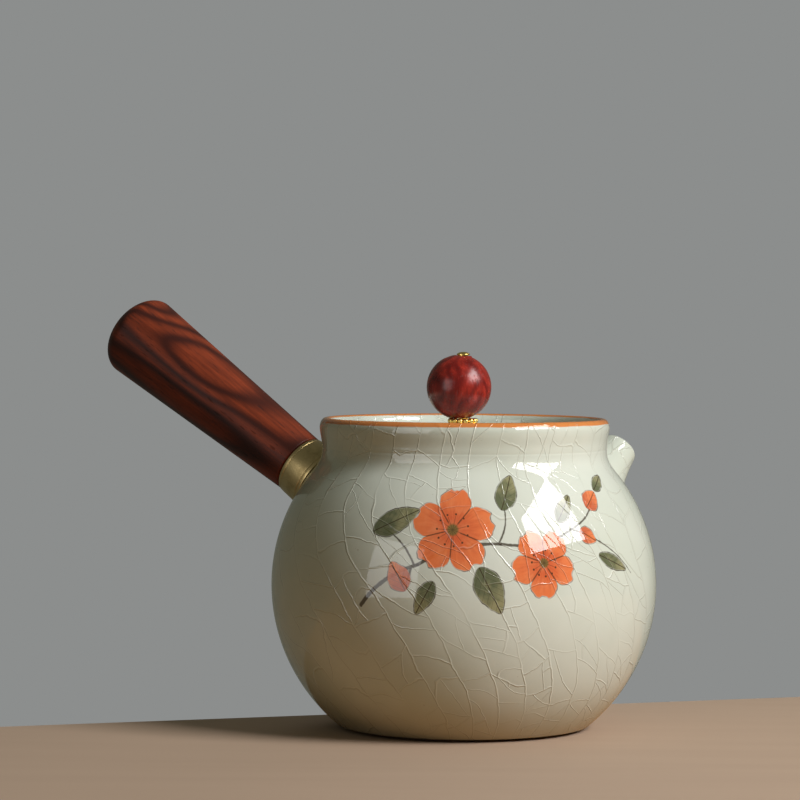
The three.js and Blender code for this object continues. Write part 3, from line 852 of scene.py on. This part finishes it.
def turned_brass_effect():
    """Handled brass: cloudy tarnish, rubbed patches and fine turning lines."""
    tree, n, given, out = effect_tree(
        "Turned brass",
        {"Place": ORIGIN, "Lines": 5.0, "Tarnish": 0.5, "Wear": 0.2},
        ("Cloud", "Roughness", "Height"),
    )
    turns = n.times(n.split(given["Place"])["Z"], given["Lines"])
    lines = n.add("ShaderNodeTexNoise", {"noise_dimensions": "1D"}, W=turns, Detail=3.0)
    cloud = n.times(n.fade(n.noise(given["Place"], 0.35, 4.0, 0.6), 0.4, 0.7), given["Tarnish"])
    scuffs = n.noise(given["Place"], 2.2, 3.0)
    n.feed(out["Cloud"], cloud)
    n.feed(out["Roughness"], n.plus(n.times(cloud, 0.12), n.times(scuffs, 0.08), given["Wear"]))
    n.feed(out["Height"], lines.outputs[0])
    return tree


CRACKLE = crackle_effect()
LEAF = leaf_effect()
BLOSSOM = blossom_effect()
STROKE = stroke_effect()
WOOD = figured_wood_effect()
BRASS = turned_brass_effect()


def surface(name, **plain):
    """A material with one Principled shader, its plain values set on the shader."""
    material = bpy.data.materials.new(name)
    material.use_nodes = True
    n = Nodes(material.node_tree)
    shader = material.node_tree.nodes["Principled BSDF"]
    for label, value in plain.items():
        shader.inputs[label.replace("_", " ")].default_value = value
    return material, n, shader.inputs


def millimetres(n):
    """The piece's own coordinates in millimetres."""
    return n.vector("MULTIPLY", n.add("ShaderNodeTexCoord").outputs["Object"], (1000.0, 1000.0, 1000.0))


def along_line(n, line):
    """The piece's own coordinates in millimetres, across and along a line of the pot."""
    turn = Matrix((line.side, line.over, line.out)).to_euler()
    middle = n.vector("SUBTRACT", millimetres(n), tuple(line.start))
    return n.add("ShaderNodeMapping", Vector=middle, Rotation=tuple(turn)).outputs[0]


def bumped(n, inputs, height, distance, strength=1.0):
    bump = n.add("ShaderNodeBump", Strength=strength, Distance=distance * MM, Height=height)
    n.feed(inputs["Normal"], bump.outputs["Normal"])


# The painted spray: middle (round, up), turn, then sizes, in millimetres on the wrap map
BLOSSOMS = [((-2.8, 16.6), 14, 10.6), ((19.5, 8.6), -20, 8.4)]
BUDS = [((38.6, 23.6), 35, 3.6, 2.5), ((-15.6, 5.4), 120, 3.9, 2.7), ((33.4, 14.6), -30, 2.8, 2.0)]
LEAVES = [
    ((-17.6, 18.6), 26, 6.6, 3.0),
    ((6.2, 2.4), -64, 6.0, 3.2),
    ((11.9, 26.2), 66, 5.2, 2.8),
    ((27.8, 21.6), 48, 4.6, 1.9),
    ((40.6, 8.0), -22, 5.2, 1.7),
    ((-9.2, 0.6), -118, 4.4, 2.0),
    ((45.4, 28.0), 28, 4.2, 1.5),
]

# Its twigs: start, end, bow, width at the start and at the end
TWIGS = [
    ((-25.0, -1.6), (-11.0, 8.2), 1.4, 0.5, 0.42),
    ((-11.0, 8.2), (9.0, 13.2), 1.6, 0.42, 0.36),
    ((9.0, 13.2), (28.5, 16.4), -1.6, 0.36, 0.26),
    ((28.5, 16.4), (40.0, 25.0), -1.2, 0.26, 0.16),
    ((-12.6, 7.2), (-15.0, 3.0), 0.6, 0.3, 0.14),
    ((29.0, 16.2), (47.5, 5.0), 1.5, 0.24, 0.1),
    ((-11.8, 8.0), (-20.5, 16.6), -1.2, 0.28, 0.12),
    ((8.6, 13.6), (10.6, 22.0), -0.8, 0.26, 0.14),
]

INK = (0.052, 0.034, 0.018, 1)
LEAF_GREENS = (0.088, 0.1, 0.036, 1), (0.27, 0.25, 0.115, 1)
BUD_ORANGES = (0.56, 0.105, 0.03, 1), (0.78, 0.2, 0.055, 1)
BLOSSOM_ORANGES = (0.6, 0.09, 0.022, 1), (0.8, 0.185, 0.05, 1)
BLOSSOM_WASH, BLOSSOM_HEART = (0.86, 0.34, 0.14, 1), (0.16, 0.13, 0.04, 1)


def painted(n, place, colour):
    """The orange spray laid over the glaze colour."""

    def lay(share, strength, paint):
        nonlocal colour
        colour = n.mix(n.times(share, strength), colour, paint)

    def leaf_shape(middle, turn, half_length, half_width):
        sizes = {"Half_Length": half_length, "Half_Width": half_width}
        return n.effect(LEAF, Place=place, Middle=middle + (0,), Turn=turn, **sizes)

    for start, end, bow, first, last in TWIGS:
        ends = {"Start": start + (0,), "End": end + (0,), "Start_Width": first, "End_Width": last}
        lay(n.effect(STROKE, Place=place, Bow=bow, **ends)["Mask"], 0.88, INK)
    for shape in LEAVES:
        leaf = leaf_shape(*shape)
        lay(leaf["Fill"], 0.93, n.mix(n.fade(leaf["Tone"], 0.3, 0.85), *LEAF_GREENS))
        lay(leaf["Stroke"], 0.95, INK)
    for shape in BUDS:
        bud = leaf_shape(*shape)
        lay(bud["Fill"], 0.94, n.mix(n.fade(bud["Tone"], 0.3, 0.8), *BUD_ORANGES))
        lay(bud["Stroke"], 0.8, INK)
    wash = n.fade(n.noise(place, 0.22, 3.0), 0.4, 0.75, 0.0, 0.35)
    for middle, turn, radius in BLOSSOMS:
        bloom = n.effect(BLOSSOM, Place=place, Middle=middle + (0,), Turn=turn, Radius=radius)
        orange = n.mix(n.fade(bloom["Tone"], 0.25, 0.85), *BLOSSOM_ORANGES)
        lay(bloom["Fill"], 0.97, n.mix(wash, orange, BLOSSOM_WASH))
        lay(bloom["Heart"], 0.9, BLOSSOM_HEART)
        lay(bloom["Stroke"], 0.9, INK)
    return colour


GLAZE_TONES = (0.595, 0.628, 0.54, 1), (0.66, 0.685, 0.605, 1)
# The pale crack colour is partly the cracks' own whitish tone, partly a painted highlight; the crack shade
# is painted shade.
CELL_TONE, PALE_CRACK_AND_HIGHLIGHT, CRACK_SHADE = (0.69, 0.7, 0.61, 1), (0.9, 0.88, 0.78, 1), (0.45, 0.4, 0.32, 1)
# The thin glaze colour also serves as painted warm bounce light near the foot.
SPECK, FOOT_BOUNCE_AND_THIN_GLAZE = (0.3, 0.22, 0.13, 1), (0.42, 0.33, 0.2, 1)
RIM_ORANGES = (0.56, 0.15, 0.022, 1), (0.72, 0.25, 0.05, 1)
CLAY_TONES = (0.24, 0.15, 0.09, 1), (0.52, 0.38, 0.26, 1)


def rim_and_foot(n, solid, colour, rough, height):
    """The orange rim, a browner tone towards the foot that is partly thin glaze and partly painted warm
    bounce light from the board, and the foot's bare gritty clay.
    """
    x, y, z = n.split(solid)
    radius = n.diagonal(x, y)
    brush = n.scaled(n.noise(solid, 0.12), 0.4, -0.2)
    level = n.plus(n.scaled(radius, 0.3, z), brush)
    rim = n.times(n.fade(level, 84.98, 85.2), n.fade(z, 73.0, 73.2), 0.96)
    colour = n.mix(rim, colour, n.mix(n.noise(solid, 0.1), *RIM_ORANGES))
    # Browner towards the foot: partly thin glaze, partly painted warm bounce light from the board.
    colour = n.mix(n.fade(z, 0.0, 15.0, 0.5, 0.0), colour, FOOT_BOUNCE_AND_THIN_GLAZE)
    clay = n.times(n.fall(z, 0.72, 0.8), n.fall(radius, 30.3, 30.6))
    grit = n.noise(solid, 1.8, 4.0, 0.7)
    colour = n.mix(clay, colour, n.mix(grit, *CLAY_TONES))
    rough = n.highest(rough, n.times(clay, 0.85))
    height = n.plus(n.times(height, n.minus(1.0, clay)), n.times(grit, clay, 1.5))
    return colour, rough, height


def glaze(name, seam, shift, with_paint=False, flat=False):
    """Pale grey-green crackle glaze, with the painted spray, orange rim and bare foot on the pot.

    The cracks follow the wrap map, or run straight across where the piece is flat.
    """
    material, n, inputs = surface(name, IOR=1.5)
    solid = millimetres(n)
    laid = solid if flat else n.add("ShaderNodeUVMap", {"uv_map": "wrap"}).outputs[0]
    place = n.vector("MULTIPLY", laid, (1.0, 1.0, 0.0))
    crackle = n.effect(CRACKLE, Place=place, Shift=shift, Seam=seam, Sweep=9.0, Line_Width=0.23)
    colour = n.mix(n.fade(n.noise(solid, 0.035, 3.0), 0.35, 0.65), *GLAZE_TONES)
    colour = n.mix(n.times(crackle["Cell"], 0.1), colour, CELL_TONE)
    # Pale crack lines: partly the cracks' own whitish colour, partly a painted highlight on their raised
    # edges.
    colour = n.mix(n.times(crackle["Line"], 0.14), colour, PALE_CRACK_AND_HIGHLIGHT)
    colour = n.mix(n.fade(n.noise(solid, 0.75), 0.74, 0.8, 0.0, 0.35), colour, SPECK)
    if with_paint:
        colour = painted(n, place, colour)
    # Painted shade along one side of each crack, standing in for the shadow of its raised edge.
    shade = n.math("SUBTRACT", crackle["Painted Shade Side"], crackle["Line"], clamp=True)
    colour = n.mix(n.times(shade, 0.34), colour, n.mix(1.0, colour, CRACK_SHADE, "MULTIPLY"))
    # Pale crack lines again over the paint: partly crack colour, partly painted highlight.
    colour = n.mix(n.times(crackle["Line"], 0.12), colour, PALE_CRACK_AND_HIGHLIGHT)
    rough = n.scaled(n.noise(solid, 0.4), 0.03, 0.01)
    height = crackle["Height"]
    if with_paint:
        colour, rough, height = rim_and_foot(n, solid, colour, rough, height)
    n.feed(inputs["Base Color"], colour)
    n.feed(inputs["Roughness"], rough)
    swell = n.times(n.noise(solid, 0.04, 1.0), 0.25)
    bumped(n, inputs, n.scaled(height, 1.1, swell), 0.07)
    return material


OPEN_PORE = (0.012, 0.005, 0.004, 1)


def grained(name, line, dark, light, streaked, roughness, gloss, **figure):
    """Oiled or polished figured wood whose grain runs along a line of the pot."""
    material, n, inputs = surface(name, IOR=1.45, Specular_IOR_Level=gloss)
    wood = n.effect(WOOD, Place=along_line(n, line), **figure)
    colour = n.mix(wood["Figure"], dark, light)
    colour = n.mix(n.fade(wood["Streak"], 0.3, 0.75, 0.6, 0.0), colour, streaked)
    colour = n.mix(n.times(wood["Pore"], 0.4), colour, OPEN_PORE)
    n.feed(inputs["Base Color"], colour)
    rub = n.scaled(wood["Streak"], 0.16, roughness)
    n.feed(inputs["Roughness"], n.plus(rub, n.times(wood["Pore"], 0.2)))
    bumped(n, inputs, n.minus(n.times(wood["Streak"], 0.5), wood["Pore"]), 0.03, 0.6)
    return material


def brassy(name, line, bright, dull, **finish):
    """Turned brass, duller in cloudy patches of tarnish."""
    material, n, inputs = surface(name, Metallic=1.0)
    brass = n.effect(BRASS, Place=along_line(n, line), **finish)
    n.feed(inputs["Base Color"], n.mix(brass["Cloud"], bright, dull))
    n.feed(inputs["Roughness"], brass["Roughness"])
    bumped(n, inputs, brass["Height"], 0.01, 0.5)
    return material


def silicone():
    """Soft matt washer material with moulding mottle."""
    material, n, inputs = surface("milky silicone", Subsurface_Weight=0.1)
    mottle = n.noise(millimetres(n), 1.2, 4.0)
    n.feed(inputs["Base Color"], n.mix(mottle, (0.62, 0.6, 0.54, 1), (0.78, 0.76, 0.7, 1)))
    n.feed(inputs["Roughness"], n.fade(mottle, 0.3, 0.7, 0.5, 0.72))
    bumped(n, inputs, mottle, 0.03, 0.5)
    return material


ROUND_POT = 2 * math.pi * BELLY_R
ROUND_STUB = 60.0
NO_SEAM = 900.0
POT_GLAZE = glaze("painted crackle glaze", ROUND_POT / 2, (1059.0, 633.0, 0.0), with_paint=True)
STUB_GLAZE = glaze("crackle glaze", ROUND_STUB / 2, (40.0, 90.0, 0.0))
LID_GLAZE = glaze("lid crackle glaze", NO_SEAM, (500.0, 20.0, 0.0), flat=True)
ROSEWOOD = grained(
    "oiled rosewood",
    HANDLE,
    dark=(0.05, 0.011, 0.007, 1),
    light=(0.27, 0.046, 0.016, 1),
    streaked=(0.05, 0.012, 0.008, 1),
    roughness=0.4,
    gloss=0.2,
    Loops=9.0,
    Along=0.018,
    Across=0.05,
    Pore_Size=1.9,
    Shift=(29.6, 10.4, 16.8),
    Streak_Shape=(1.1, 1.1, 0.05),
)
BEAD_WOOD = grained(
    "polished red bead",
    UPRIGHT,
    dark=(0.188, 0.0103, 0.0075, 1),
    light=(0.395, 0.028, 0.016, 1),
    streaked=(0.085, 0.0066, 0.0056, 1),
    roughness=0.18,
    gloss=0.44,
    Loops=4.0,
    Along=0.1,
    Across=0.16,
    Pore_Size=2.4,
    Shift=(0.0, 0.0, 0.0),
    Streak_Shape=(0.9, 0.9, 0.4),
)
DULL_BRASS = brassy(
    "dull ferrule brass",
    HANDLE,
    bright=(0.53, 0.4, 0.19, 1),
    dull=(0.34, 0.25, 0.11, 1),
    Lines=5.0,
    Tarnish=0.8,
    Wear=0.3,
)
BRIGHT_BRASS = brassy(
    "bright knob brass",
    UPRIGHT,
    bright=(0.95, 0.68, 0.2, 1),
    dull=(0.7, 0.46, 0.14, 1),
    Lines=7.0,
    Tarnish=0.4,
    Wear=0.22,
)
SILICONE = silicone()


def ring_of_beads():
    """A ring of little balls, built by geometry nodes."""
    tree = bpy.data.node_groups.new("Ring of beads", "GeometryNodeTree")
    for label, kind, value in (
        ("Count", "NodeSocketInt", 12),
        ("Ring Radius", FLOAT, 0.003),
        ("Bead Radius", FLOAT, 0.0006),
        ("Height", FLOAT, 0.0),
        ("Aside", FLOAT, 0.0),
    ):
        tree.interface.new_socket(label, in_out="INPUT", socket_type=kind).default_value = value
    tree.interface.new_socket("Material", in_out="INPUT", socket_type="NodeSocketMaterial")
    tree.interface.new_socket("Geometry", in_out="OUTPUT", socket_type="NodeSocketGeometry")
    n = Nodes(tree)
    given = n.add("NodeGroupInput").outputs
    circle = n.add("GeometryNodeMeshCircle", Vertices=given["Count"], Radius=given["Ring Radius"])
    ball = n.add("GeometryNodeMeshIcoSphere", Subdivisions=4, Radius=given["Bead Radius"])
    placed = n.add("GeometryNodeInstanceOnPoints", Points=circle.outputs[0], Instance=ball.outputs[0])
    real = n.add("GeometryNodeRealizeInstances", Geometry=placed.outputs[0])
    aside = n.joined(X=given["Aside"], Z=given["Height"])
    moved = n.add("GeometryNodeTransform", Geometry=real.outputs[0], Translation=aside)
    smooth = n.add("GeometryNodeSetShadeSmooth", Geometry=moved.outputs[0])
    dressed_ring = n.add("GeometryNodeSetMaterial", Geometry=smooth.outputs[0], Material=given["Material"])
    n.feed(n.add("NodeGroupOutput").inputs["Geometry"], dressed_ring.outputs[0])
    return tree


def from_nodes(name, tree, **values):
    """The plain mesh object that a geometry node tree makes."""
    piece = put_in_scene(name, bpy.data.meshes.new(name))
    modifier = piece.modifiers.new(name, "NODES")
    modifier.node_group = tree
    sockets = {item.name: item.identifier for item in tree.interface.items_tree if item.in_out == "INPUT"}
    for label, value in values.items():
        modifier[sockets[label.replace("_", " ")]] = value
    made_plain(piece)
    return piece


def dressed(piece, body, slot, *nodes):
    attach(piece, body)
    if nodes:
        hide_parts(*nodes)


# The pot
pot = built("crackle_pot", turned_rings(pot_profile(), 256), POT_GLAZE, ROUND_POT, None)
strainer = strainer_places(STRAINER_RINGS, STRAINER_PITCH)
bored(pot, rods(strainer, STRAINER_HOLE_R, SPOUT.skin - 7.2, SPOUT.skin + 2, SPOUT))
spout = built("luted_spout", spout_rings(), STUB_GLAZE, ROUND_STUB, closed=True)
socket = built("luted_socket", socket_rings(), STUB_GLAZE, ROUND_STUB)

# The handle
ferrule = built("turned_ferrule", turned_rings(ferrule_profile(), 96, HANDLE), DULL_BRASS, closed=True)
grip = built("rosewood_grip", turned_rings(grip_profile(), 96, HANDLE), ROSEWOOD)

# The lid, its vent hole and its knob
LID_PLACE = np.array((LID_X, 0, 0))
lid = built("domed_lid", turned_rings(lid_profile(), 192) + LID_PLACE, LID_GLAZE, 120.0, closed=True)
bored(lid, rods([(VENT_OUT, -LID_X)], VENT_R, LID_UNDER - 2.5, LID_TOP + 1.8, UPRIGHT))
bead = built("wooden_bead", bead_rings(), BEAD_WOOD, closed=True)
screw = built("knob_bolt", turned_rings(screw_profile(), 48) + LID_PLACE, BRIGHT_BRASS)
collar = built("beaded_collar", turned_rings(collar_profile(), 64) + LID_PLACE, BRIGHT_BRASS, closed=True)
pearls = from_nodes(
    "collar_beads",
    ring_of_beads(),
    Count=PEARLS,
    Ring_Radius=PEARL_RING_R * MM,
    Bead_Radius=PEARL_R * MM,
    Height=PEARL_Z * MM,
    Aside=LID_X * MM,
    Material=BRIGHT_BRASS,
)

dressed(pot, "pot", "glaze", "pot_body")
dressed(spout, "pot", "glaze", "spout")
dressed(socket, "pot", "glaze", "handle_socket")
dressed(ferrule, "pot", "brass", "handle_ferrule")
dressed(grip, "pot", "rosewood", "handle_grip")
dressed(lid, "lid", "glaze", "lid")
dressed(bead, "lid", "bead_wood", "knob_bead")
dressed(screw, "lid", "brass", "knob_screw")
dressed(collar, "lid", "brass", "knob_collar")
dressed(pearls, "lid", "brass")
for node, material in (("knob_washer", SILICONE), ("knob_nut", BRIGHT_BRASS)):
    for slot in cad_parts[node].material_slots:
        slot.material = material


# Board, lamps, room and camera
def board(turn, far, reach, thick, colour, shown):
    """A plain board for the pot to stand on, its far edge close behind; it shows paler than its bounce."""
    corners = [(-reach, -reach), (reach, -reach), (reach, far), (-reach, far)]
    points = [Matrix.Rotation(turn, 3, "Z") @ Vector((x, y, z)) for z in (-thick, 0) for x, y in corners]
    faces = [(3, 2, 1, 0), (4, 5, 6, 7)] + [(i, (i + 1) % 4, (i + 1) % 4 + 4, i + 4) for i in range(4)]
    mesh = bpy.data.meshes.new("board")
    mesh.from_pydata(points, [], faces)
    piece = put_in_scene("board", mesh)
    material, n, inputs = surface("plain board", Roughness=0.75, IOR=1.3)
    grain = n.noise(n.vector("MULTIPLY", millimetres(n), (0.01, 0.09, 1.0)), 1.0, 4.0)
    seen = n.mix(n.add("ShaderNodeLightPath").outputs["Is Camera Ray"], colour, shown)
    darker = n.mix(1.0, seen, (0.6, 0.56, 0.5, 1), "MULTIPLY")
    n.feed(inputs["Base Color"], n.mix(n.times(grain, 0.25), seen, darker))
    mesh.materials.append(material)


board(
    turn=math.radians(20),
    far=0.031,
    reach=0.45,
    thick=0.02,
    colour=(0.39, 0.228, 0.11, 1),
    shown=(0.47, 0.34, 0.25, 1),
)


def soft_box(name, middle, across, up, width, height, strength):
    """A rectangular lamp that shines away from across x up."""
    data = bpy.data.lights.new(name, "AREA")
    data.shape = "RECTANGLE"
    data.size, data.size_y = width, height
    data.energy = strength * width * height * math.pi
    lamp = put_in_scene(name, data)
    across = Vector(across).normalized()
    back = across.cross(Vector(up)).normalized()
    if back.dot(Vector(middle)) < 0:
        across, back = -across, -back
    turn = Matrix((across, back.cross(across), back)).transposed().to_4x4()
    turn.translation = Vector(middle)
    lamp.matrix_world = turn
    return lamp


window = soft_box(
    "window",
    middle=(0.650, -0.412, 0.639),
    across=(-0.12, 0.234, 0.965),
    up=(-0.208, 0.944, -0.255),
    width=0.512,
    height=0.818,
    strength=13.1,
)
window.visible_diffuse = False
key = soft_box(
    "key",
    middle=(0.687, -0.446, 0.614),
    across=(0.545, 0.839, 0.0),
    up=(-0.481, 0.312, 0.819),
    width=0.4,
    height=0.4,
    strength=23.0,
)
key.visible_glossy = False
fill = soft_box(
    "fill",
    middle=(-0.617, -0.689, 0.217),
    across=(0.721, -0.689, -0.075),
    up=(0.16, 0.062, 0.985),
    width=0.514,
    height=0.587,
    strength=2.2,
)
fill.visible_diffuse = False
behind = soft_box(
    "behind",
    middle=(0.30, 1.05, 0.2),
    across=(0.96, -0.28, 0.0),
    up=(0.0, 0.0, 1.0),
    width=0.5,
    height=0.5,
    strength=3.6,
)
behind.visible_glossy = False

# A dim room that lights the pot, and a plain grey one that the camera sees
world = bpy.data.worlds.new("room")
world.use_nodes = True
room = Nodes(world.node_tree)
dim = world.node_tree.nodes["Background"]
dim.inputs["Color"].default_value = (0.95, 1.0, 0.75, 1)
dim.inputs["Strength"].default_value = 0.1
seen = room.add("ShaderNodeBackground", Color=(0.262, 0.27, 0.267, 1))
light = room.add("ShaderNodeLightPath").outputs
both = room.add("ShaderNodeMixShader", Fac=room.scaled(light["Is Glossy Ray"], 0.15, light["Is Camera Ray"]))
room.feed(both.inputs[1], dim.outputs[0])
room.feed(both.inputs[2], seen.outputs[0])
room.feed(world.node_tree.nodes["World Output"].inputs["Surface"], both.outputs[0])
scene.world = world
scene.view_settings.view_transform = "Standard"

# The camera: its focal length and the turns that centre the picture are in pixels of the 800 frame
FRAME, FOCAL, AIM_LEFT, AIM_DOWN, ROLL = 800, 3233.3, 64.7, 92.5, math.radians(0.3)
CAMERA_PLACE = (0.0, -0.790, 0.1025)
lens = bpy.data.cameras.new("camera")
lens.sensor_width = 36.0
lens.lens = FOCAL / FRAME * lens.sensor_width
camera = put_in_scene("camera", lens)
pitch, yaw = math.atan(AIM_DOWN / FOCAL), math.atan(AIM_LEFT / FOCAL)
ahead = Vector((-math.sin(yaw) * math.cos(pitch), math.cos(yaw) * math.cos(pitch), -math.sin(pitch)))
right = Vector((math.cos(yaw), math.sin(yaw), 0.0))
turn = Matrix((right, right.cross(ahead), -ahead)).transposed() @ Matrix.Rotation(ROLL, 3, "Z")
camera.matrix_world = Matrix.Translation(CAMERA_PLACE) @ turn.to_4x4()
scene.camera = camera
